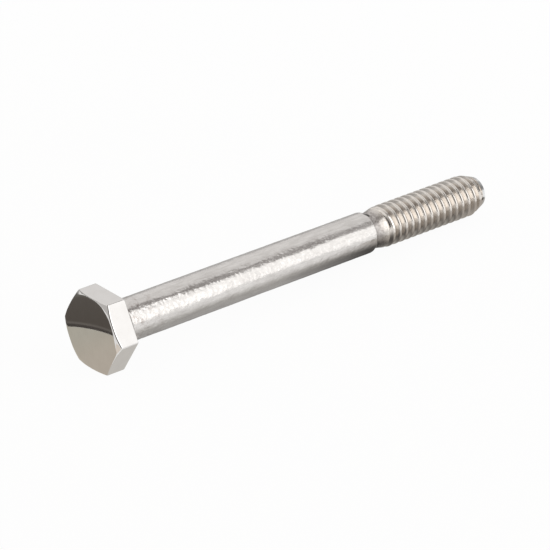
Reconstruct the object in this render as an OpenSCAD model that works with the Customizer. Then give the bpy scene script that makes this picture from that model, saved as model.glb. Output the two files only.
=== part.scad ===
// Hex head bolt, partly threaded, lying along +X.
// The origin is the centre of the bearing plane under the head. +X runs down the shank to the
// point, and +Z is square to one pair of wrench flats.

/* [Head] */
// Distance across the wrench flats
across_flats = 11; // [10.2:0.05:12]
// Height of the head, from the bearing plane to the middle of the crown
head_height = 3.9; // [3.4:0.05:4.6]
// Diameter where the flat top meets the chamfer
chamfer_d = 10.9; // [9.4:0.05:11.3]
// Slope of the chamfer, measured from the flat top
chamfer_angle = 25; // [15:1:35]
// How far the middle of the top stands above its rim
crown_rise = 0.1; // [0.05:0.01:0.3]
// Diameter of the round washer face
washer_d = 10.2; // [8.6:0.05:10.6]
// Thickness of the washer face
washer_t = 0.38; // [0.2:0.01:0.6]

/* [Shank] */
// Length from the bearing plane to the end of the point
length = 69.85; // [60:0.05:90]
// Diameter of the plain shank
shank_d = 6.25; // [6:0.01:6.35]
// Radius of the fillet between the shank and the washer face
fillet_r = 0.4; // [0.2:0.05:0.6]
// Length of the full-diameter shank, from the bearing plane
shank_length = 47; // [40:0.5:50]
// Radius of the rounded shoulder at the end of the shank
shoulder_r = 0.4; // [0.1:0.05:0.5]

/* [Thread] */
// Outside diameter of the thread
major_d = 6.32; // [6.2:0.01:6.4]
// Distance from one ridge to the next
pitch = 1.27; // [1.1:0.01:1.4]
// Diameter at the bottom of the groove
root_d = 4.88; // [4.7:0.02:5]
// Length of the smooth neck between the shoulder and the first ridge
neck_length = 0.7; // [0.5:0.1:1.6]
// Length over which the blank swells to the height of the ridges
swell_length = 2.8; // [0.6:0.1:3.6]
// Plain stretch at the start of the swell, before the groove begins
groove_delay = 0.5; // [0.2:0.1:1]
// Length over which the groove sinks to full depth
run_in = 2.4; // [1.2:0.1:3]
// Length over which the last groove fades out at the point
run_out = 0.4; // [0.3:0.1:1]
// Where round the bolt the first ridge starts
start_angle = 185; // [0:5:355]

/* [Point] */
// Length of the plain lead-in cone, past the last groove
point_length = 0.65; // [0.6:0.05:1.2]
// Diameter of the flat end of the point
point_d = 4.6; // [4.2:0.05:4.8]
// Slope of the lead-in cone, measured from the axis
point_angle = 20; // [15:1:30]

/* [Hidden] */

FACETS = 96;               // round surfaces
CROWN_FACETS = 2880;       // the very large circle of the crown
THREAD_SIDES = 20;         // points round one ring of the thread
RINGS_PER_TURN = 16;       // rings along one pitch of the thread
CREST_SHARE = 0.25;        // part of the pitch that is flat crest
ROOT_SHARE = 0.12;         // part of the pitch that is flat root

shank_r = shank_d / 2;
major_r = major_d / 2;
root_r = root_d / 2;
corner_r = across_flats / sqrt(3);                 // centre to a corner of the hexagon
rim_x = head_height - crown_rise;                  // height of the rim of the crown
crown_r = (pow(chamfer_d / 2, 2) + pow(crown_rise, 2)) / (2 * crown_rise);
neck_r = shank_r - shoulder_r;                     // blank diameter before the thread is rolled
neck_x = shank_length + shoulder_r;                // where the shoulder reaches the neck
thread_x = neck_x + neck_length;                   // where the helix starts
point_x = length - point_length;                   // where the plain cone starts

// Turns a shape built up along +Z so that it lies along +X
module along_x() {
    rotate([0, 90, 0]) children();
}

// Outline of the head's turned surface: crown, chamfer and the blank under them
module head_outline() {
    reach = corner_r + 1;
    chamfer_drop = (reach - chamfer_d / 2) * tan(chamfer_angle);
    intersection() {
        polygon([
            [0, washer_t], [reach, washer_t], [reach, rim_x - chamfer_drop],
            [chamfer_d / 2, rim_x], [chamfer_d / 2, head_height], [0, head_height]
        ]);
        translate([0, head_height - crown_r]) circle(r = crown_r, $fn = CROWN_FACETS);
    }
}

// The hexagon, with two of its flats facing up and down
module hex_head() {
    color([0.84, 0.84, 0.85])
    along_x() mirror([0, 0, 1]) intersection() {
        rotate_extrude($fn = FACETS) head_outline();
        rotate([0, 0, 30]) cylinder(r = corner_r, h = head_height + 1, $fn = 6);
    }
}

// The round bearing boss, a ring round the root of the shank
module washer_face() {
    color([0.78, 0.78, 0.79])
    along_x() translate([0, 0, -washer_t]) difference() {
        cylinder(d = washer_d, h = washer_t, $fn = FACETS);
        translate([0, 0, -1]) cylinder(r = shank_r + fillet_r, h = washer_t + 2, $fn = FACETS);
    }
}

// Outline of the shank: root, hollow fillet, straight body and rounded shoulder
module shank_outline() {
    difference() {
        union() {
            translate([0, -washer_t]) square([shank_r + fillet_r, washer_t + fillet_r]);
            square([shank_r, shank_length]);
            square([shank_r - shoulder_r, neck_x]);
            translate([shank_r - shoulder_r, shank_length]) circle(r = shoulder_r, $fn = FACETS);
        }
        translate([shank_r + fillet_r, fillet_r]) circle(r = fillet_r, $fn = FACETS);
    }
}

module shank() {
    color([0.8, 0.79, 0.78])
    along_x() rotate_extrude($fn = FACETS) shank_outline();
}

// The neck that is left at blank size between the shoulder and the helix
module thread_runout() {
    color([0.72, 0.7, 0.67])
    along_x() translate([0, 0, neck_x]) cylinder(r = neck_r, h = neck_length, $fn = FACETS);
}

function clamp01(v) = min(1, max(0, v));
function smooth01(v) = let (t = clamp01(v)) t * t * (3 - 2 * t);

// Depth of the groove at a share of the pitch from the middle of a ridge: 0 crest, 1 root
function groove_share(u) =
    let (away = u > 0.5 ? 1 - u : u,
         crest = CREST_SHARE / 2,
         root = 0.5 - ROOT_SHARE / 2)
    clamp01((away - crest) / (root - crest));

// Radius of the lead-in cone, which cuts the ridges down towards the point
function cone_radius(x) = point_d / 2 + (length - x) * tan(point_angle);

// Radius of the blank before the groove is rolled into it
function ridge_radius(x) =
    min(neck_r + (major_r - neck_r) * smooth01((x - thread_x) / swell_length), cone_radius(x));

// How far the groove has sunk at a place along the bolt: 0 is none, 1 is full depth
function groove_form(x) =
    smooth01((x - thread_x - groove_delay) / run_in) * smooth01((point_x - x) / run_out);

function thread_radius(x, u) =
    min(ridge_radius(x), major_r - (major_r - root_r) * groove_share(u) * groove_form(x));

// One closed skin: every ring holds one pitch of the profile, turned on by the lead of the helix
module thread() {
    steps = ceil((point_x - thread_x) / pitch * RINGS_PER_TURN);
    step_x = (point_x - thread_x) / steps;
    points = [
        for (ring = [0 : steps], side = [0 : THREAD_SIDES - 1])
            let (x = thread_x + ring * step_x,
                 u = side / THREAD_SIDES,
                 turn = start_angle + 360 * ((x - thread_x) / pitch - u),
                 r = thread_radius(x, u))
            [x, r * cos(turn), r * sin(turn)]
    ];
    first_cap = [for (side = [0 : THREAD_SIDES - 1]) side];
    last_cap = [for (side = [THREAD_SIDES - 1 : -1 : 0]) steps * THREAD_SIDES + side];
    skin = [
        for (ring = [0 : steps - 1], side = [0 : THREAD_SIDES - 1])
            let (near = ring * THREAD_SIDES + side,
                 near_next = ring * THREAD_SIDES + (side + 1) % THREAD_SIDES,
                 far = near + THREAD_SIDES,
                 far_next = near_next + THREAD_SIDES)
            each [[near, far, far_next], [near, far_next, near_next]]
    ];
    color([0.74, 0.7, 0.65])
    polyhedron(points = points, faces = concat([first_cap, last_cap], skin));
}

// The chamfered end that leads the thread into its nut
module point() {
    color([0.82, 0.82, 0.82])
    along_x() translate([0, 0, point_x])
        cylinder(r1 = cone_radius(point_x), r2 = point_d / 2, h = point_length, $fn = FACETS);
}

hex_head();
washer_face();
shank();
thread_runout();
thread();
point();
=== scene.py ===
import math

import bpy
import numpy as np
from mathutils import Matrix, Vector


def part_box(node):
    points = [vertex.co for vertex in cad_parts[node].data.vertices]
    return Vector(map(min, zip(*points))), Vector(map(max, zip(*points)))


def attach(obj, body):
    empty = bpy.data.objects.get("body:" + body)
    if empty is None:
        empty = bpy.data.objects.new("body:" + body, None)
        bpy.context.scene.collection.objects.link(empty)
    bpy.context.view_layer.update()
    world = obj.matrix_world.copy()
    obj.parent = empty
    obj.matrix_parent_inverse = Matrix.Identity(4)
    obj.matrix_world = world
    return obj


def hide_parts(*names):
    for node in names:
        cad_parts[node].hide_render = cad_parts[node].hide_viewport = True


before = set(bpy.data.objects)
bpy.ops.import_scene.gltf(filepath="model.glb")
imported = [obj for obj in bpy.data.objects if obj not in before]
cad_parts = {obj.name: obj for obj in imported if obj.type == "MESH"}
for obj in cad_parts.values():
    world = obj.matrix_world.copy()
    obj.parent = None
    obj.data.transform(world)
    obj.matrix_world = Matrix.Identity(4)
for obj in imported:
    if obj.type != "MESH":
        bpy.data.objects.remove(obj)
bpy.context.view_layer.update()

MM = 0.001


# ---- sizes shared with the CAD model, in millimetres unless a name says otherwise ----
def box_mm(node):
    """The lowest and highest corners of a CAD node, in millimetres."""
    return [np.array(corner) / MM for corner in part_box(node)]


HEAD_LO, HEAD_HI = box_mm("hex_head")
BOSS_LO, BOSS_HI = box_mm("washer_face")
SHANK_LO, SHANK_HI = box_mm("shank")
NECK_LO, NECK_HI = box_mm("thread_runout")
POINT_LO, POINT_HI = box_mm("point")

FLAT_R = HEAD_HI[2]            # centre to a wrench flat
CROWN_RISE = 0.1               # middle of the top above its rim
CHAMFER_R = 5.45               # where the top meets the chamfer
CHAMFER_SLOPE = math.radians(25)
BOSS_R = BOSS_HI[2]
FILLET = 0.4                   # under-head fillet
ROOT_R = SHANK_HI[2]           # shank root, where the fillet meets the boss
SHANK_R = ROOT_R - FILLET
NECK_R = NECK_HI[2]
SHOULDER = SHANK_R - NECK_R    # rounded shoulder at the end of the shank
NECK_X = NECK_LO[0]
THREAD_X = box_mm("thread")[0][0]
POINT_X = POINT_LO[0]
END_X = POINT_HI[0]
MAJOR_R = 3.16                 # outside of the thread
GROOVE_R = 2.44                # bottom of the groove
PITCH = 1.27
START_ANGLE = 185.0            # degrees round the axis where the first ridge starts
SWELL = 2.8                    # length over which the blank swells to full height
GROOVE_DELAY = 0.5             # plain stretch before the groove begins
RUN_IN = 2.4                   # length over which the groove sinks to full depth
RUN_OUT = 0.4                  # length over which the last groove fades out
POINT_R = 2.3                  # flat end of the point
POINT_SLOPE = math.radians(20)
ROUND_SIDES = 192              # sides of the plain round pieces


# ---- small helpers ----
def clamp01(v):
    return np.clip(v, 0.0, 1.0)


def smooth01(v):
    t = clamp01(v)
    return t * t * (3 - 2 * t)


def smooth_max(a, b, k):
    """The larger of two fields, with the edge between them rounded over a width k."""
    near = np.maximum(k - np.abs(a - b), 0.0)
    return np.maximum(a, b) + near * near / (4 * k)


def packed(edges, counts):
    """Numbers from edge to edge, closer together near each edge."""
    parts = []
    for a, b, n in zip(edges[:-1], edges[1:], counts, strict=True):
        t = np.arange(n) / n
        parts.append(a + (b - a) * (0.5 - 0.5 * np.cos(math.pi * t)))
    parts.append([edges[-1]])
    return np.concatenate(parts)


def ring_quads(n_rings, sides, closed=False):
    """The faces between neighbouring rings, and from the last ring to the first if closed."""
    ring = np.arange(n_rings if closed else n_rings - 1)[:, None]
    side = np.arange(sides)[None, :]
    near, far = ring * sides, (ring + 1) % n_rings * sides
    following = (side + 1) % sides
    quads = np.stack([near + side, near + following, far + following, far + side], axis=-1)
    return [tuple(q) for q in quads.reshape(-1, 4).tolist()]


def smooth_mesh(name, points, faces):
    """A mesh with smooth shading, from points in millimetres."""
    mesh = bpy.data.meshes.new(name)
    mesh.from_pydata([tuple(p) for p in (points * MM).tolist()], [], faces)
    mesh.validate()
    mesh.update()
    mesh.shade_smooth()
    return mesh


def skin_mesh(name, rings, first_tip, last_tip):
    """A closed mesh from rings of points (ring, side, xyz) in millimetres, with a fan at each end."""
    n_rings, sides = rings.shape[:2]
    faces = ring_quads(n_rings, sides)
    first, last = n_rings * sides, n_rings * sides + 1
    base = (n_rings - 1) * sides
    for k in range(sides):
        after = (k + 1) % sides
        faces.append((first, after, k))
        faces.append((last, base + k, base + after))
    points = np.concatenate([rings.reshape(-1, 3), [first_tip, last_tip]])
    return smooth_mesh(name, points, faces)


def facing_out(mesh):
    """Turns the faces round if the mesh came out inside out."""
    mesh.calc_loop_triangles()
    co = np.zeros(len(mesh.vertices) * 3)
    mesh.vertices.foreach_get("co", co)
    co = co.reshape(-1, 3)
    corners = np.zeros(len(mesh.loop_triangles) * 3, int)
    mesh.loop_triangles.foreach_get("vertices", corners)
    a, b, c = (co[corners.reshape(-1, 3)[:, i]] for i in range(3))
    if np.einsum("ij,ij->i", a, np.cross(b, c)).sum() < 0:
        mesh.flip_normals()


def add_piece(name, mesh, material, cad_node, sharp_deg=40):
    """Adds a piece that stands for a CAD node. Edges steeper than sharp_deg stay crisp."""
    facing_out(mesh)
    mesh.set_sharp_from_angle(angle=math.radians(sharp_deg))
    mesh.materials.append(material)
    piece = bpy.data.objects.new(name, mesh)
    bpy.context.scene.collection.objects.link(piece)
    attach(piece, "root")
    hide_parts(cad_node)


def turned(profile, sides, relief=None):
    """Rings round the X axis from a profile of (x, radius). relief(x, angle) is added to the radius."""
    angle = np.arange(sides) * 2 * math.pi / sides
    x = profile[:, 0][:, None] + 0 * angle[None, :]
    r = profile[:, 1][:, None] + 0 * angle[None, :]
    if relief is not None:
        r = r + relief(x, angle[None, :] + 0 * x)
    return np.stack([x, r * np.cos(angle), r * np.sin(angle)], axis=-1)


class Noise:
    """Smooth noise on a cylinder: it repeats round the axis, and is the same on every run."""

    ROWS = 1024
    FIRST_ROW = 40.0           # keeps the row numbers above zero

    def __init__(self, seed, height, cell_x, cells_round):
        self.table = np.random.RandomState(seed).uniform(-1, 1, (self.ROWS, cells_round))
        self.height = height
        self.cell_x = cell_x
        self.cells_round = cells_round

    def __call__(self, x, angle):
        gx = x / self.cell_x + self.FIRST_ROW
        ga = (angle / (2 * math.pi)) % 1.0 * self.cells_round
        ix, ia = np.floor(gx).astype(int), np.floor(ga).astype(int)
        fx, fa = smooth01(gx - ix), smooth01(ga - ia)
        ix0, ix1 = ix % self.ROWS, (ix + 1) % self.ROWS
        ia0, ia1 = ia % self.cells_round, (ia + 1) % self.cells_round
        t = self.table
        near = t[ix0, ia0] * (1 - fa) + t[ix0, ia1] * fa
        far = t[ix1, ia0] * (1 - fa) + t[ix1, ia1] * fa
        return self.height * (near * (1 - fx) + far * fx)


# ---- the head: hexagon, chamfer, domed top, every edge softened by polishing ----
CORNER_SOFT = 0.16             # ridge between two flats
RIM_SOFT = 0.14                # chamfer or top to a flat
CROWN_SOFT = 0.10              # top to chamfer
REAR_SOFT = 0.14               # flat to the underside
RIM_X = HEAD_LO[0] + CROWN_RISE
CROWN_R = (CHAMFER_R**2 + CROWN_RISE**2) / (2 * CROWN_RISE)
RIM_BAND = 0.3                 # width of the band of closer rows inside the rim
LEAST_CHAMFER = 0.02           # width of the chamfer in the middle of a flat, for spacing the rows
TOP_TIP_R = 0.12               # first ring of points, round the middle of the top
REAR_TIP_R = 0.2               # last ring of points, round the middle of the underside
HEAD_COLUMNS = 56              # columns of points in each sixth of the head
HEAD_ROWS = [22, 8, 14, 28, 24]    # rows on the crown, its rim, the chamfer, a flat, the underside
SEARCH = (0.05, 1.6)           # shares of a ray between which the surface is looked for
HALVINGS = 40


def head_field(p):
    """Below zero inside the head, above zero outside it."""
    x, y, z = p[..., 0], p[..., 1], p[..., 2]
    r = np.hypot(y, z)
    sides = None
    for k in range(6):
        turn = math.radians(30 + 60 * k)
        flat = y * math.cos(turn) + z * math.sin(turn) - FLAT_R
        sides = flat if sides is None else smooth_max(sides, flat, CORNER_SOFT)
    chamfer = -(x - RIM_X) * math.cos(CHAMFER_SLOPE) + (r - CHAMFER_R) * math.sin(CHAMFER_SLOPE)
    crown = np.sqrt((x - HEAD_LO[0] - CROWN_R) ** 2 + r * r) - CROWN_R
    front = smooth_max(crown, chamfer, CROWN_SOFT)
    body = smooth_max(front, sides, RIM_SOFT)
    return smooth_max(body, x - HEAD_HI[0], REAR_SOFT)


def head_mesh():
    """Points on the sharp head, each drawn along its ray from the middle to the softened surface."""
    sector = packed([0, 60], [HEAD_COLUMNS])[:-1]
    turns = np.radians(np.concatenate([sector + 60 * k for k in range(6)]))
    centre = np.array([(HEAD_LO[0] + HEAD_HI[0]) / 2, 0.0, 0.0])
    rows = []
    for turn in turns:
        away = (math.degrees(turn) % 60) - 30
        edge_r = FLAT_R / math.cos(math.radians(away))
        edge_x = RIM_X + max(edge_r - CHAMFER_R, LEAST_CHAMFER) * math.tan(CHAMFER_SLOPE)
        r = packed([TOP_TIP_R, CHAMFER_R - RIM_BAND, CHAMFER_R, edge_r, edge_r, REAR_TIP_R], HEAD_ROWS)
        x = packed([HEAD_LO[0], RIM_X - 0.01, RIM_X, edge_x, HEAD_HI[0], HEAD_HI[0]], HEAD_ROWS)
        rows.append(np.stack([x, r * math.cos(turn), r * math.sin(turn)], axis=-1))
    target = np.array(rows).transpose(1, 0, 2)
    ray = target - centre
    near, far = (np.full(ray.shape[:2], share) for share in SEARCH)
    for _ in range(HALVINGS):
        middle = (near + far) / 2
        inside = head_field(centre + ray * middle[..., None]) < 0
        near, far = np.where(inside, middle, near), np.where(inside, far, middle)
    rings = centre + ray * near[..., None]
    return skin_mesh("head_polished", rings, [rings[0, :, 0].mean(), 0, 0], [HEAD_HI[0], 0, 0])


# ---- the washer face, a flat ring with a softened outer edge ----
BOSS_SOFT = 0.07


def boss_mesh():
    turn = np.linspace(0, math.pi / 2, 7)
    outer_x = BOSS_HI[0] - BOSS_SOFT + BOSS_SOFT * np.sin(turn)
    outer_r = BOSS_R - BOSS_SOFT + BOSS_SOFT * np.cos(turn)
    profile = [(BOSS_LO[0], ROOT_R), (BOSS_LO[0], BOSS_R)]
    profile += list(zip(outer_x, outer_r, strict=True))
    profile += [(BOSS_HI[0], ROOT_R + (BOSS_R - ROOT_R) * t) for t in (0.66, 0.33, 0.0)]
    rings = turned(np.array(profile), ROUND_SIDES)
    faces = ring_quads(len(rings), ROUND_SIDES, closed=True)
    return smooth_mesh("washer_boss", rings.reshape(-1, 3), faces)


# ---- the shank: drawn blank with faint lengthwise waves, mottling and small pits ----
# Each noise has a seed, a height, the length of a cell and the number of cells round the shank.
STREAK = Noise(11, 0.012, 5.0, 40)
WAVE = Noise(12, 0.008, 1.3, 34)
MOTTLE = Noise(13, 0.007, 0.42, 56)
FINE = Noise(14, 0.007, 0.24, 90)
TEETH = Noise(15, 0.0038, 0.30, 30)
RELIEF_START = 0.3             # the relief begins this far from the head
RELIEF_STOP = 0.25             # and ends this far before the neck
RELIEF_FADE = 0.8              # length over which it fades in and out
SKIN_DROP = 0.002              # keeps the tops of the relief close to the shank's radius
PIT_COUNT = 150
PIT_START, PIT_REACH = 0.8, 45.0
PIT_CROWDING = 2.2             # above 1, the pits gather near the head
PIT_SIZES = (0.1, 0.26)
PIT_DEPTHS = (0.006, 0.024)
PIT_FALL, PIT_EDGE = 2.0, 6    # how fast a pit's side rises, and where it is cut off
SHANK_ROWS = 372
SHANK_SIDES = 232


def pits():
    """Places, sizes and depths of the small pits, most of them near the head."""
    rng = np.random.RandomState(21)
    found = []
    for _ in range(PIT_COUNT):
        x = PIT_START + PIT_REACH * rng.uniform() ** PIT_CROWDING
        found.append((x, rng.uniform(0, 2 * math.pi), rng.uniform(*PIT_SIZES), rng.uniform(*PIT_DEPTHS)))
    return found


def shank_relief(x, angle):
    fade_in = smooth01((x - RELIEF_START) / RELIEF_FADE)
    fade_out = smooth01((NECK_X - RELIEF_STOP - x) / RELIEF_FADE)
    height = STREAK(x, angle) + WAVE(x, angle)
    height += MOTTLE(x, angle) + FINE(x, angle) + TEETH(x, angle)
    for px, pa, size, depth in pits():
        da = (angle - pa + math.pi) % (2 * math.pi) - math.pi
        away = ((x - px) ** 2 + (da * SHANK_R) ** 2) / size**2
        height = height - depth * np.exp(-away * PIT_FALL) * (away < PIT_EDGE)
    return height * (fade_in * fade_out) - SKIN_DROP


def shank_mesh():
    turn = np.linspace(0, math.pi / 2, 10)
    fillet_x = FILLET - FILLET * np.cos(turn)
    fillet_r = ROOT_R - FILLET * np.sin(turn)
    body_x = np.linspace(FILLET, NECK_X - SHOULDER, SHANK_ROWS)[1:]
    turn = np.linspace(0, math.pi / 2, 11)[1:]
    shoulder_x = NECK_X - SHOULDER + SHOULDER * np.sin(turn)
    shoulder_r = NECK_R + SHOULDER * np.cos(turn)
    profile = np.array(
        [(SHANK_LO[0], ROOT_R)]
        + list(zip(fillet_x, fillet_r, strict=True))
        + [(x, SHANK_R) for x in body_x]
        + list(zip(shoulder_x, shoulder_r, strict=True))
    )
    rings = turned(profile, SHANK_SIDES, shank_relief)
    return skin_mesh("shank_body", rings, [SHANK_LO[0], 0, 0], [NECK_X, 0, 0])


# ---- the neck between the shoulder and the helix ----
NECK_ROWS = 14


def neck_mesh():
    profile = np.array([(x, NECK_R) for x in np.linspace(NECK_X, THREAD_X, NECK_ROWS)])
    rings = turned(profile, ROUND_SIDES)
    return skin_mesh("runout_neck", rings, [NECK_X, 0, 0], [THREAD_X, 0, 0])


# ---- the rolled thread ----
CREST_SHARE = 0.25             # part of the pitch that is flat crest
ROOT_SHARE = 0.12              # part of the pitch that is flat root
CORNER_ROUND = 0.15            # how round the corners of a ridge are, as a share of its flank
ROUND_LEAN = 0.10              # added to that on the head's side of a ridge, taken off on the other
CONE_SOFT = 0.02               # rounding where the cone cuts the ridges
THREAD_STEPS_PER_TURN = 64
THREAD_SIDES = 72


def rounded_ramp(v, soft):
    """0 below 0, 1 above 1, straight between, with both corners rounded over a width soft."""
    low = smooth_max(v, 0 * v, soft)
    return -smooth_max(-low, -1 + 0 * low, soft)


def groove_share(u):
    """Depth of the groove at a share u of the pitch from the middle of a ridge: 0 crest, 1 root."""
    away = np.where(u > 0.5, 1 - u, u)
    start, stop = CREST_SHARE / 2, 0.5 - ROOT_SHARE / 2
    soft = CORNER_ROUND - ROUND_LEAN * np.sin(2 * math.pi * u)
    return clamp01(rounded_ramp((away - start) / (stop - start), soft))


def cone_radius(x):
    return POINT_R + (END_X - x) * math.tan(POINT_SLOPE)


def ridge_radius(x):
    swell = NECK_R + (MAJOR_R - NECK_R) * smooth01((x - THREAD_X) / SWELL)
    return -smooth_max(-swell, -cone_radius(x), CONE_SOFT)


def groove_form(x):
    return smooth01((x - THREAD_X - GROOVE_DELAY) / RUN_IN) * smooth01((POINT_X - x) / RUN_OUT)


def thread_radius(x, u):
    groove = MAJOR_R - (MAJOR_R - GROOVE_R) * groove_share(u) * groove_form(x)
    return np.minimum(ridge_radius(x), groove)


def thread_mesh():
    steps = math.ceil((POINT_X - THREAD_X) / PITCH * THREAD_STEPS_PER_TURN)
    x = np.linspace(THREAD_X, POINT_X, steps + 1)[:, None]
    u = (np.arange(THREAD_SIDES) / THREAD_SIDES)[None, :]
    turn = np.radians(START_ANGLE) + 2 * math.pi * ((x - THREAD_X) / PITCH - u)
    r = thread_radius(x + 0 * u, u + 0 * x)
    rings = np.stack([x + 0 * u, r * np.cos(turn), r * np.sin(turn)], axis=-1)
    return skin_mesh("thread_helix", rings, [THREAD_X, 0, 0], [POINT_X, 0, 0])


# ---- the plain lead-in cone and the cut end ----
POINT_SOFT = 0.12              # rounding of the edge between the cone and the cut end
EDGE_DRAW = 0.03               # how far the rounding draws in past a plain quarter circle
DISH = 0.05                    # depth of the hollow in the cut end
DISH_TIP_R = 0.15              # last ring of points, round the middle of the cut end


def point_mesh():
    cone = [(x, cone_radius(x)) for x in np.linspace(POINT_X, END_X - POINT_SOFT, 10)]
    last_r = cone[-1][1]
    edge = []
    for t in np.linspace(0, 1, 8)[1:]:
        x = END_X - POINT_SOFT + POINT_SOFT * math.sin(t * math.pi / 2)
        r = last_r - POINT_SOFT * (1 - math.cos(t * math.pi / 2)) - EDGE_DRAW * t
        edge.append((x, r))
    face_r = edge[-1][1]
    dish = [
        (END_X - DISH * (1 - (r / face_r) ** 2), r)
        for r in np.linspace(face_r, DISH_TIP_R, 14)[1:]
    ]
    rings = turned(np.array(cone + edge + dish), ROUND_SIDES)
    return skin_mesh("lead_point", rings, [POINT_X, 0, 0], [END_X - DISH, 0, 0])


# ---- materials: noise scales are in cells per metre, bump distances in metres ----
# Painted dark spots, each with a centre and a reach along X, Y and Z, in millimetres: painted shade in the
# corner at the shoulder and the neck, and a painted dark reflection on the rim of the point.
SHOULDER_PAINTED_SHADE = ((47.20, -0.15, 3.00), (0.32, 0.70, 0.34))
NECK_PAINTED_SHADE = ((47.74, -0.10, 2.70), (0.34, 0.65, 0.36))
RIM_PAINTED_REFLECTION = ((69.05, -2.52, 0.05), (0.36, 0.50, 0.34))
PAINTED_SHADE_TONE = (0.06, 0.055, 0.05)
RIM_REFLECTION_TONE = (0.04, 0.035, 0.03)


class Nodes:
    """A short way to write the node tree of a material or of the world."""

    def __init__(self, owner, output="ShaderNodeOutputMaterial"):
        owner.use_nodes = True
        self.owner = owner
        self.tree = owner.node_tree
        self.tree.nodes.clear()
        self.output = self.add(output)

    def add(self, kind, **settings):
        node = self.tree.nodes.new(kind)
        for key, value in settings.items():
            setattr(node, key, value)
        return node

    def link(self, source, target):
        self.tree.links.new(source, target)

    def value(self, node, name, value):
        node.inputs[name].default_value = value

    def place(self):
        return self.add("ShaderNodeTexCoord").outputs["Object"]

    def stretched(self, scale):
        mapping = self.add("ShaderNodeMapping")
        self.link(self.place(), mapping.inputs["Vector"])
        self.value(mapping, "Scale", scale)
        return mapping.outputs["Vector"]

    def axes(self, vector):
        """The X, Y and Z of a vector."""
        node = self.add("ShaderNodeSeparateXYZ")
        self.link(vector, node.inputs[0])
        return [node.outputs[k] for k in range(3)]

    def length(self, vector):
        node = self.add("ShaderNodeVectorMath", operation="LENGTH")
        self.link(vector, node.inputs[0])
        return node.outputs["Value"]

    def noise(self, vector, scale, detail=2.0, rough=0.5):
        node = self.add("ShaderNodeTexNoise")
        self.link(vector, node.inputs["Vector"])
        self.value(node, "Scale", scale)
        self.value(node, "Detail", detail)
        self.value(node, "Roughness", rough)
        return node.outputs["Fac"]

    def ramp(self, source, stops):
        node = self.add("ShaderNodeValToRGB")
        ramp = node.color_ramp
        for k, (at, colour) in enumerate(stops):
            stop = ramp.elements[k] if k < 2 else ramp.elements.new(at)
            stop.position = at
            stop.color = (*colour, 1.0)
        self.link(source, node.inputs["Fac"])
        return node.outputs["Color"]

    def span(self, source, low, high, from_low=0.0, from_high=1.0):
        """Low where the source is from_low, high where it is from_high, and clamped beyond them."""
        node = self.add("ShaderNodeMapRange")
        self.link(source, node.inputs["Value"])
        for name, v in (("From Min", from_low), ("From Max", from_high), ("To Min", low), ("To Max", high)):
            self.value(node, name, v)
        return node.outputs["Result"]

    def mix(self, factor, a, b):
        """Colour a where the factor is 0 and b where it is 1."""
        node = self.add("ShaderNodeMix", data_type="RGBA")
        self.link(factor, node.inputs[0])
        for socket, v in ((node.inputs[6], a), (node.inputs[7], b)):
            if isinstance(v, tuple):
                socket.default_value = (*v, 1.0)
            else:
                self.link(v, socket)
        return node.outputs[2]

    def maths(self, operation, a, b=None):
        node = self.add("ShaderNodeMath", operation=operation)
        self.link(a, node.inputs[0])
        if isinstance(b, float):
            node.inputs[1].default_value = b
        elif b is not None:
            self.link(b, node.inputs[1])
        return node.outputs[0]

    def bump(self, height, strength, distance, under=None):
        node = self.add("ShaderNodeBump")
        self.value(node, "Strength", strength)
        self.value(node, "Distance", distance)
        self.link(height, node.inputs["Height"])
        if under is not None:
            self.link(under, node.inputs["Normal"])
        return node.outputs["Normal"]

    def spot(self, centre, reach):
        """1 in the middle of a soft oval spot and 0 outside it. Both are in millimetres."""
        away = self.add("ShaderNodeVectorMath", operation="SUBTRACT")
        self.link(self.place(), away.inputs[0])
        away.inputs[1].default_value = [v * MM for v in centre]
        share = self.add("ShaderNodeVectorMath", operation="DIVIDE")
        self.link(away.outputs[0], share.inputs[0])
        share.inputs[1].default_value = [v * MM for v in reach]
        return self.span(self.length(share.outputs[0]), 1.0, 0.0, 0.55, 1.0)

    def metal(self, colour, roughness, normal):
        shader = self.add("ShaderNodeBsdfPrincipled")
        self.value(shader, "Metallic", 1.0)
        self.link(colour, shader.inputs["Base Color"])
        self.link(roughness, shader.inputs["Roughness"])
        self.link(normal, shader.inputs["Normal"])
        self.link(shader.outputs["BSDF"], self.output.inputs["Surface"])
        return self.owner

    def glow(self, tone):
        """A surface that only gives off its own tone."""
        shader = self.add("ShaderNodeEmission")
        self.link(tone, shader.inputs["Color"])
        self.value(shader, "Strength", 1.0)
        self.link(shader.outputs[0], self.output.inputs["Surface"])
        return self.owner


def material_nodes(name):
    return Nodes(bpy.data.materials.new(name))


def chrome_material():
    n = material_nodes("polished_chrome")
    haze = n.noise(n.place(), 700.0, 3.0)
    hairline = n.noise(n.stretched((1.0, 1.0, 9.0)), 1600.0, 3.0)
    colour = n.ramp(haze, [(0.3, (0.655, 0.640, 0.625)), (0.7, (0.685, 0.672, 0.660))])
    roughness = n.span(hairline, 0.03, 0.07, 0.35, 0.75)
    normal = n.bump(n.noise(n.place(), 380.0, 1.0), 0.12, 0.00002)
    return n.metal(colour, roughness, normal)


def shaded_boss_material():
    n = material_nodes("dull_shaded_boss")
    cloud = n.noise(n.place(), 900.0, 3.0)
    # The dark tone is partly the boss's unpolished face and partly painted shade under the head, seen as a
    # thin dark line between the head and the shank.
    colour = n.ramp(cloud, [(0.3, (0.17, 0.16, 0.155)), (0.7, (0.24, 0.23, 0.22))])
    roughness = n.span(cloud, 0.35, 0.45, 0.3, 0.7)
    return n.metal(colour, roughness, n.bump(cloud, 0.3, 0.000010))


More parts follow.
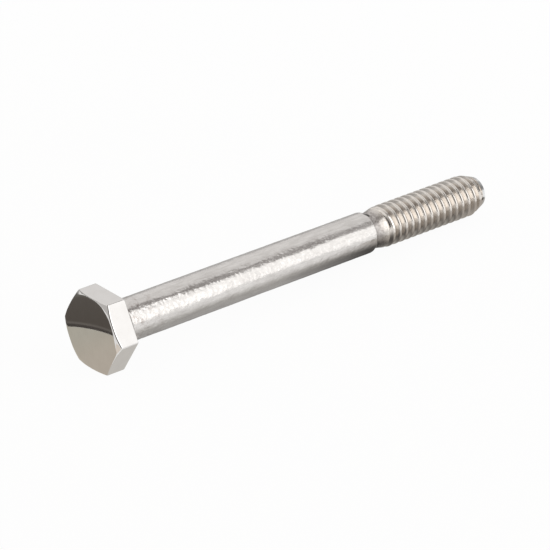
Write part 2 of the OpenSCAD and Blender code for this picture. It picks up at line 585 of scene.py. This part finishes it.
def plate_material():
    n = material_nodes("satin_plate")
    streaks = n.noise(n.stretched((0.06, 1.0, 1.0)), 2600.0, 3.0, 0.6)
    hairs = n.noise(n.stretched((0.12, 1.0, 1.0)), 7000.0, 2.0, 0.6)
    cloud = n.noise(n.stretched((0.5, 1.0, 1.0)), 900.0, 4.0, 0.6)
    grain = n.noise(n.place(), 5200.0, 2.0, 0.6)
    base = n.ramp(cloud, [(0.30, (0.575, 0.556, 0.540)), (0.62, (0.675, 0.658, 0.642))])
    colour = n.mix(n.span(streaks, 0.0, 0.45, 0.45, 0.75), base, (0.52, 0.50, 0.485))
    colour = n.mix(n.span(hairs, 0.0, 0.35, 0.50, 0.78), colour, (0.47, 0.45, 0.435))
    x, _, _ = n.axes(n.place())
    near_head = n.span(x, 1.0, 0.0, 0.5 * MM, 9.0 * MM)
    blotch = n.span(n.noise(n.place(), 1500.0, 4.0, 0.65), 0.0, 1.0, 0.52, 0.66)
    stain = n.maths("MULTIPLY", n.maths("MULTIPLY", blotch, near_head), 0.75)
    colour = n.mix(stain, colour, (0.26, 0.21, 0.185))
    # Painted shade: a small dark spot in the corner at the top of the shoulder.
    colour = n.mix(n.spot(*SHOULDER_PAINTED_SHADE), colour, PAINTED_SHADE_TONE)
    roughness = n.span(streaks, 0.16, 0.24, 0.3, 0.7)
    normal = n.bump(grain, 0.8, 0.000012)
    normal = n.bump(streaks, 0.5, 0.000010, normal)
    return n.metal(colour, roughness, normal)


def thread_material():
    """A warm plate, browner in the groove, that starts as dark, dull and mottled as the neck, a tone that
    is partly its rough rolled surface and partly painted shade.
    """
    n = material_nodes("thread_plate")
    cloud = n.noise(n.place(), 900.0, 4.0, 0.6)
    grain = n.noise(n.place(), 4200.0, 2.0, 0.6)
    x, y, z = n.axes(n.place())
    square = n.maths("ADD", n.maths("MULTIPLY", y, y), n.maths("MULTIPLY", z, z))
    radius = n.maths("SQRT", square)
    height = n.span(radius, 0.0, 1.0, GROOVE_R * MM, (GROOVE_R + 0.4) * MM)
    bright = n.ramp(cloud, [(0.30, (0.66, 0.622, 0.58)), (0.65, (0.72, 0.685, 0.645))])
    colour = n.mix(height, (0.64, 0.595, 0.55), bright)
    start = n.span(x, 1.0, 0.0, 48.5 * MM, 49.7 * MM)
    mottle = n.noise(n.place(), 2600.0, 3.0, 0.6)
    # Partly painted shade: the dark start of the thread next to the neck.
    dull_and_shade = n.ramp(mottle, [(0.35, (0.30, 0.275, 0.26)), (0.62, (0.52, 0.495, 0.475))])
    colour = n.mix(start, colour, dull_and_shade)
    # Painted reflection: a small dark spot on the rim of the point, where the rim mirrors something dark.
    colour = n.mix(n.spot(*RIM_PAINTED_REFLECTION), colour, RIM_REFLECTION_TONE)
    roughness = n.span(cloud, 0.15, 0.24, 0.3, 0.7)
    roughness = n.maths("ADD", roughness, n.maths("MULTIPLY", start, 0.16))
    normal = n.bump(grain, 0.5, 0.000008)
    normal = n.bump(n.maths("MULTIPLY", mottle, start), 0.8, 0.000030, normal)
    return n.metal(colour, roughness, normal)


def neck_material():
    n = material_nodes("neck_plate")
    cloud = n.noise(n.place(), 2200.0, 4.0, 0.6)
    grain = n.noise(n.place(), 3600.0, 3.0, 0.6)
    # The dark mottled tone is partly the neck's dull rolled surface and partly painted shade in the recess
    # between the shoulder and the thread.
    colour = n.ramp(cloud, [(0.35, (0.26, 0.24, 0.23)), (0.62, (0.52, 0.495, 0.48))])
    # Painted shade: a small dark spot in the corner between the shoulder and the neck.
    colour = n.mix(n.spot(*NECK_PAINTED_SHADE), colour, PAINTED_SHADE_TONE)
    roughness = n.span(cloud, 0.30, 0.42, 0.3, 0.7)
    normal = n.bump(grain, 0.7, 0.000020)
    return n.metal(colour, roughness, normal)


def point_material():
    n = material_nodes("point_plate")
    cloud = n.noise(n.place(), 1800.0, 3.0, 0.6)
    grain = n.noise(n.place(), 4200.0, 2.0, 0.6)
    colour = n.ramp(cloud, [(0.30, (0.64, 0.655, 0.66)), (0.65, (0.77, 0.78, 0.785))])
    # Painted reflection: a small dark spot on the rim of the point, where the rim mirrors something dark.
    colour = n.mix(n.spot(*RIM_PAINTED_REFLECTION), colour, RIM_REFLECTION_TONE)
    roughness = n.span(cloud, 0.14, 0.24, 0.3, 0.7)
    normal = n.bump(grain, 0.4, 0.000006)
    return n.metal(colour, roughness, normal)


# ---- the bolt ----
add_piece("head_polished", head_mesh(), chrome_material(), "hex_head", 60)
add_piece("washer_boss", boss_mesh(), shaded_boss_material(), "washer_face")
add_piece("shank_body", shank_mesh(), plate_material(), "shank", 60)
add_piece("runout_neck", neck_mesh(), neck_material(), "thread_runout")
add_piece("thread_helix", thread_mesh(), thread_material(), "thread", 75)
add_piece("lead_point", point_mesh(), point_material(), "point")


# ---- the floor: the bolt rests on the rear edge of a flat and on its last full ridge ----
REST_HEAD = (HEAD_HI[0], HEAD_LO[2])
REST_THREAD = (67.5, -MAJOR_R)
FLOOR_TILT = math.atan2(REST_THREAD[1] - REST_HEAD[1], REST_THREAD[0] - REST_HEAD[0])
FLOOR_HALF = 4000.0
GLOW_SHARE = 0.66              # how much of the floor is glow and not lit paper
CAMERA_SHARES = (0.295, 0.34)  # what the camera sees on top of that, near the bolt and far away
CAMERA_REACH = (0.07, 0.25)    # where the change from near to far begins and ends, in metres


def floor_point(x, y, lift=0.0):
    """A point on the floor under (x, y), in millimetres."""
    return Vector((x, y, REST_HEAD[1] + (x - REST_HEAD[0]) * math.tan(FLOOR_TILT) + lift)) * MM


def rectangle(x0, y0, x1, y1):
    return (x0, y0), (x1, y0), (x1, y1), (x0, y1)


def floor_material():
    """Paper under an even glow. The camera sees it almost white, with a faint shadow of the bolt."""
    n = material_nodes("pale_floor")
    grain = n.noise(n.place(), 60.0, 3.0)
    colour = n.ramp(grain, [(0.3, (0.83, 0.825, 0.815)), (0.7, (0.86, 0.855, 0.845))])
    paper = n.add("ShaderNodeBsdfDiffuse")
    n.link(colour, paper.inputs["Color"])
    camera_ray = n.add("ShaderNodeLightPath").outputs["Is Camera Ray"]
    glow = n.add("ShaderNodeEmission")
    n.value(glow, "Color", (1.0, 1.0, 1.0, 1.0))
    n.link(n.span(camera_ray, 1.25, 1.0), glow.inputs["Strength"])
    seen = n.span(n.length(n.place()), *CAMERA_SHARES, *CAMERA_REACH)
    share = n.maths("ADD", n.maths("MULTIPLY", camera_ray, seen), GLOW_SHARE)
    both = n.add("ShaderNodeMixShader")
    n.link(share, both.inputs[0])
    n.link(paper.outputs[0], both.inputs[1])
    n.link(glow.outputs[0], both.inputs[2])
    n.link(both.outputs[0], n.output.inputs["Surface"])
    return n.owner


def stage_object(name, points, faces, material):
    """A floor or card, from points in metres."""
    mesh = bpy.data.meshes.new(name)
    mesh.from_pydata([tuple(p) for p in points], [], faces)
    mesh.materials.append(material)
    item = bpy.data.objects.new(name, mesh)
    bpy.context.scene.collection.objects.link(item)
    return item


def add_floor():
    corners = rectangle(-FLOOR_HALF, -FLOOR_HALF, FLOOR_HALF, FLOOR_HALF)
    points = [floor_point(x, y) for x, y in corners]
    stage_object("floor", points, [(0, 1, 2, 3)], floor_material())


# ---- cards: only reflections see them ----
HEAD_CARDS_AT = (-3.3, 2.8)    # middle of the arc of the two cards round the head, x and y
HEAD_CARDS_R = 11.2
DARK_CARD_LEAN = 0.5           # how far its top edge leans out
DARK_CARD_FOOT, DARK_CARD_TOP = 0.05, 9.6
BEIGE_CARD_FRONT = -5.0        # its straight front edge
BEIGE_CARD_LIFT = 0.04
FLAT_CARD_LIFT = 0.03
SHADOW_CARD_LIFT = 0.02
SHADOW_DEPTH = 12.0            # how far the bolt's shadow reaches out from under it
STRIP_TILT = -42.0             # degrees
STRIP_HEIGHT = 68.8            # degrees round the shank, up from the side
STRIP_HALVES = (0.041, 0.033)  # half its width at the head end and at the thread end, in metres
STRIP_HALF_LENGTH = 0.16       # metres
STRIP_STOP = 0.4               # where the thread end is cut, as a share of the half length
STRIP_DISTANCE = 0.25          # metres from the middle of the bolt
FAR_CARD_DISTANCE = 0.50       # metres
FAR_CARD_COLUMNS = 6
FAR_CARD_AIM = Vector((30, 0, 0)) * MM
LIGHT_AIM = Vector((25, 0, 0)) * MM


def turned_pair(first, second, degrees):
    """Two vectors at right angles, turned in the plane that they share."""
    angle = math.radians(degrees)
    return (
        first * math.cos(angle) + second * math.sin(angle),
        second * math.cos(angle) - first * math.sin(angle),
    )


def card_material(name, dark, light):
    n = material_nodes(name)
    return n.glow(n.ramp(n.noise(n.place(), 40.0, 2.0), [(0.35, dark), (0.65, light)]))


def stage_card(name, points, faces, material):
    card = stage_object(name, points, faces, material)
    card.visible_camera = False
    card.visible_diffuse = False
    card.visible_shadow = False
    card.visible_transmission = False
    return card


def head_arc(sweep, steps, reach):
    """Places (x, y) on an arc round the foot of the head."""
    places = []
    for k in range(steps + 1):
        turn = math.radians(60 + sweep * k / steps)
        x = HEAD_CARDS_AT[0] + reach * math.cos(turn)
        places.append((x, HEAD_CARDS_AT[1] + reach * math.sin(turn)))
    return places


def dark_card_material():
    """Dark brown-grey, with a darker foot and a thin lighter line just above it."""
    n = material_nodes("dark_card_tone")
    height = n.add("ShaderNodeAttribute", attribute_name="lift")
    share = n.span(height.outputs["Fac"], 0.0, 1.0, 0.0, 10.0)
    return n.glow(n.ramp(share, [
        (0.0, (0.075, 0.067, 0.060)),
        (0.050, (0.085, 0.075, 0.068)),
        (0.064, (0.165, 0.150, 0.135)),
        (0.085, (0.160, 0.145, 0.130)),
        (0.105, (0.112, 0.098, 0.086)),
        (0.60, (0.128, 0.115, 0.102)),
        (0.90, (0.180, 0.172, 0.155)),
    ]))


def add_dark_card():
    """A low dark card bent round the foot of the head, for the upper half of the polished top."""
    steps = 40
    feet = head_arc(112, steps, HEAD_CARDS_R)
    tops = head_arc(112, steps, HEAD_CARDS_R + DARK_CARD_LEAN)
    points, faces, lifts = [], [], []
    for foot, top in zip(feet, tops, strict=True):
        for place, lift in ((foot, DARK_CARD_FOOT), (top, DARK_CARD_TOP)):
            points.append(floor_point(*place, lift))
            lifts.append(lift)
    for k in range(steps):
        faces.append((2 * k, 2 * k + 1, 2 * k + 3, 2 * k + 2))
    card = stage_card("dark_card", points, faces, dark_card_material())
    card.data.attributes.new("lift", "FLOAT", "POINT").data.foreach_set("value", lifts)


def add_beige_shade_card():
    """A warm card flat on the floor inside the dark one, for the lower half of the polished top. It is
    painted shade: it stands for the floor in the shade of the head.
    """
    steps = 30
    points = [floor_point(-4.2, BEIGE_CARD_FRONT, BEIGE_CARD_LIFT)]
    for x, y in head_arc(160, steps, HEAD_CARDS_R):
        points.append(floor_point(x, max(y, BEIGE_CARD_FRONT), BEIGE_CARD_LIFT))
    faces = [(0, k + 1, k + 2) for k in range(steps)]
    n = material_nodes("beige_shade_card_tone")
    _, y, _ = n.axes(n.place())
    across = n.span(y, 0.0, 1.0, 0.0, 9.0 * MM)
    tone = n.ramp(across, [
        (0.0, (0.610, 0.550, 0.475)), (0.4, (0.60, 0.548, 0.470)), (1.0, (0.560, 0.533, 0.460)),
    ])
    stage_card("beige_shade_card", points, faces, n.glow(tone))


def add_flat_card(name, corners, dark, light):
    """A small card flat on the floor, from its corners (x, y) in millimetres."""
    points = [floor_point(x, y, FLAT_CARD_LIFT) for x, y in corners]
    material = card_material(name + "_tone", dark, light)
    stage_card(name, points, [tuple(range(len(points)))], material)


def add_shadow_card():
    """The bolt's own shadow on the floor, deeper where the bolt is nearer the floor."""
    n = material_nodes("shadow_card_tone")
    x, y, _ = n.axes(n.place())
    across = n.span(y, 0.0, 1.0, -SHADOW_DEPTH * MM, 0.0)
    high = n.ramp(across, [
        (0.0, (0.98, 0.97, 0.96)), (0.17, (0.92, 0.91, 0.90)), (0.375, (0.76, 0.75, 0.73)),
        (0.53, (0.54, 0.53, 0.51)), (0.65, (0.50, 0.49, 0.475)), (0.8, (0.48, 0.47, 0.46)),
        (1.0, (0.36, 0.35, 0.34)),
    ])
    low = n.ramp(across, [
        (0.0, (0.95, 0.94, 0.93)), (0.25, (0.78, 0.765, 0.75)), (0.44, (0.47, 0.455, 0.44)),
        (0.575, (0.22, 0.21, 0.20)), (0.675, (0.11, 0.105, 0.10)), (1.0, (0.05, 0.047, 0.045)),
    ])
    under_thread = n.ramp(across, [
        (0.0, (0.56, 0.53, 0.50)), (0.58, (0.46, 0.43, 0.40)), (0.69, (0.29, 0.27, 0.25)),
        (0.77, (0.19, 0.18, 0.17)), (0.86, (0.40, 0.39, 0.37)), (1.0, (0.66, 0.65, 0.63)),
    ])
    past_point = (0.50, 0.47, 0.44)
    tone = n.mix(n.span(x, 0.0, 1.0, 30.0 * MM, 48.0 * MM), high, low)
    tone = n.mix(n.span(x, 0.0, 1.0, 49.0 * MM, 51.5 * MM), tone, under_thread)
    tone = n.mix(n.span(x, 0.0, 1.0, 63.0 * MM, 68.0 * MM), tone, past_point)
    corners = rectangle(2.0, -SHADOW_DEPTH, 76.0, 4.0)
    points = [floor_point(x, y, SHADOW_CARD_LIFT) for x, y in corners]
    stage_card("shadow_card", points, [(0, 1, 2, 3)], n.glow(tone))


def add_far_card(name, rows, dark, light):
    """A dark card half a metre away, from rows of (elevation, first azimuth, last azimuth) in degrees."""
    points, faces = [], []
    for elevation, first, last in rows:
        rise = math.radians(elevation)
        for k in range(FAR_CARD_COLUMNS + 1):
            turn = math.radians(first + (last - first) * k / FAR_CARD_COLUMNS)
            way = Vector((math.cos(turn) * math.cos(rise), math.sin(turn) * math.cos(rise), math.sin(rise)))
            points.append(FAR_CARD_AIM + way * FAR_CARD_DISTANCE)
    across = FAR_CARD_COLUMNS + 1
    for row in range(len(rows) - 1):
        for k in range(FAR_CARD_COLUMNS):
            a = row * across + k
            faces.append((a, a + 1, a + across + 1, a + across))
    stage_card(name, points, faces, card_material(name + "_tone", dark, light))


def add_strip_card():
    """A narrow dark strip above the key light, which draws the thin dark line along the shank."""
    height = math.radians(STRIP_HEIGHT)
    way = Vector((0.595, -0.803 * math.cos(height), 0.803 * math.sin(height))).normalized()
    across = Vector((1, 0, 0)).cross(way).normalized()
    across, along = turned_pair(across, way.cross(across), STRIP_TILT)
    centre = LIGHT_AIM + way * STRIP_DISTANCE
    head_half, thread_half = STRIP_HALVES
    corners = (
        (-head_half, -1), (head_half, -1), (thread_half, STRIP_STOP), (-thread_half, STRIP_STOP),
    )
    points = [centre + across * a + along * b * STRIP_HALF_LENGTH for a, b in corners]
    material = card_material("strip_card_tone", (0.30, 0.28, 0.27), (0.36, 0.34, 0.33))
    stage_card("strip_card", points, [(0, 1, 2, 3)], material)


# ---- soft lights and the room ----
# Each panel has a name, the way to it, its distance, width and height in metres, a radiance and
# a colour.
PANELS = (
    ("key_panel", (0.644, -0.666, 0.377), 0.60, 0.70, 0.62, 0.93, (1.0, 1.0, 1.0)),
    ("side_panel", (0.366, -0.821, 0.438), 1.20, 0.36, 1.32, 1.0, (1.0, 0.99, 0.97)),
    ("high_panel", (0.378, -0.405, 0.833), 0.60, 0.12, 0.18, 1.9, (1.0, 1.0, 1.0)),
    ("back_panel", (0.35, 0.61, 0.71), 0.60, 1.10, 0.85, 0.42, (1.0, 0.985, 0.98)),
    ("left_panel", (-0.934, 0.311, 0.22), 0.55, 0.40, 0.30, 0.16, (1.0, 0.96, 0.93)),
    ("top_panel", (-0.58, 0.16, 0.80), 0.70, 0.55, 0.66, 0.5, (1.0, 0.99, 0.97)),
)
ROOM_TONES = (
    (0.0, (0.46, 0.45, 0.44)), (0.6, (0.54, 0.53, 0.52)),
    (0.86, (0.54, 0.53, 0.52)), (0.93, (0.26, 0.24, 0.22)),
)


def add_panel(name, way, distance, wide, high, radiance, colour):
    """A soft rectangular light that faces the middle of the bolt."""
    data = bpy.data.lights.new(name, "AREA")
    data.shape = "RECTANGLE"
    data.size, data.size_y = wide, high
    data.color = colour
    data.energy = radiance * math.pi * wide * high
    light = bpy.data.objects.new(name, data)
    way = Vector(way).normalized()
    light.location = LIGHT_AIM + way * distance
    light.rotation_mode = "QUATERNION"
    light.rotation_quaternion = way.to_track_quat("Z", "Y")
    light.visible_camera = False
    bpy.context.scene.collection.objects.link(light)


def set_world():
    """Reflections see a grey room with a darker ceiling, and the camera sees plain white."""
    world = bpy.data.worlds.new("studio")
    bpy.context.scene.world = world
    n = Nodes(world, "ShaderNodeOutputWorld")
    _, _, height = n.axes(n.add("ShaderNodeTexCoord").outputs["Generated"])
    room = n.ramp(height, ROOM_TONES)
    camera_ray = n.add("ShaderNodeLightPath").outputs["Is Camera Ray"]
    background = n.add("ShaderNodeBackground")
    n.link(n.mix(camera_ray, room, (1.0, 1.0, 1.0)), background.inputs["Color"])
    n.link(background.outputs[0], n.output.inputs["Surface"])


# ---- the camera: a long lens, from the front left and above ----
CAMERA_AZIMUTH = -41.75        # degrees
CAMERA_ELEVATION = 26.63
CAMERA_ROLL = 1.42
CAMERA_DISTANCE = 0.5215       # metres
CAMERA_LENS = 237.57           # millimetres
CAMERA_SENSOR = 36.0           # millimetres
CAMERA_CLIP = (0.01, 20.0)     # metres
CAMERA_AIM = Vector((29.471, -0.664, -1.122)) * MM


def add_camera():
    azimuth, elevation = math.radians(CAMERA_AZIMUTH), math.radians(CAMERA_ELEVATION)
    back = Vector((
        math.sin(azimuth) * math.cos(elevation),
        -math.cos(azimuth) * math.cos(elevation),
        math.sin(elevation),
    ))
    right = (-back).cross(Vector((0, 0, 1))).normalized()
    up = right.cross(-back)
    right, up = turned_pair(right, up, CAMERA_ROLL)
    data = bpy.data.cameras.new("camera")
    data.lens = CAMERA_LENS
    data.sensor_width = CAMERA_SENSOR
    data.clip_start, data.clip_end = CAMERA_CLIP
    camera = bpy.data.objects.new("camera", data)
    place = Matrix((right, up, back)).transposed().to_4x4()
    place.translation = CAMERA_AIM + back * CAMERA_DISTANCE
    camera.matrix_world = place
    bpy.context.scene.collection.objects.link(camera)
    bpy.context.scene.camera = camera


add_floor()
add_dark_card()
add_beige_shade_card()
add_strip_card()
# Painted light: the pale card stands for brightly lit floor just in front of the head, where the head's
# shadow falls, as seen in the lower flat.
add_flat_card(
    "pale_light_card", rectangle(-3.9, -7.2, 5.0, -2.6),
    (0.65, 0.63, 0.60), (0.71, 0.69, 0.655),
)
# Painted light: the cream card stands for brightly lit floor in front of and to the left of the head, as
# seen in the chamfer.
add_flat_card(
    "cream_light_card", rectangle(-19.0, -10.0, -10.5, -2.0),
    (0.86, 0.78, 0.69), (0.94, 0.86, 0.77),
)
add_shadow_card()
add_flat_card(
    "rear_card", ((-40, 12), (260, 12), (330, 300), (-120, 300)),
    (0.50, 0.49, 0.48), (0.56, 0.55, 0.54),
)
add_far_card(
    "camera_card",
    ((-3, -148, -88), (15, -148, -88), (33, -152, -86), (52, -158, -80), (70, -160, -76)),
    (0.05, 0.045, 0.04), (0.08, 0.07, 0.065),
)
add_flat_card(
    "front_card", ((-250, -70), (20, -70), (10, -490), (-400, -490)),
    (0.10, 0.095, 0.09), (0.14, 0.13, 0.125),
)
add_far_card(
    "right_card", ((-14, -10, 5), (0, -11, 5), (12, -10, 4)),
    (0.14, 0.13, 0.125), (0.19, 0.18, 0.17),
)
for panel in PANELS:
    add_panel(*panel)
set_world()
add_camera()
bpy.context.scene.view_settings.view_transform = "Standard"
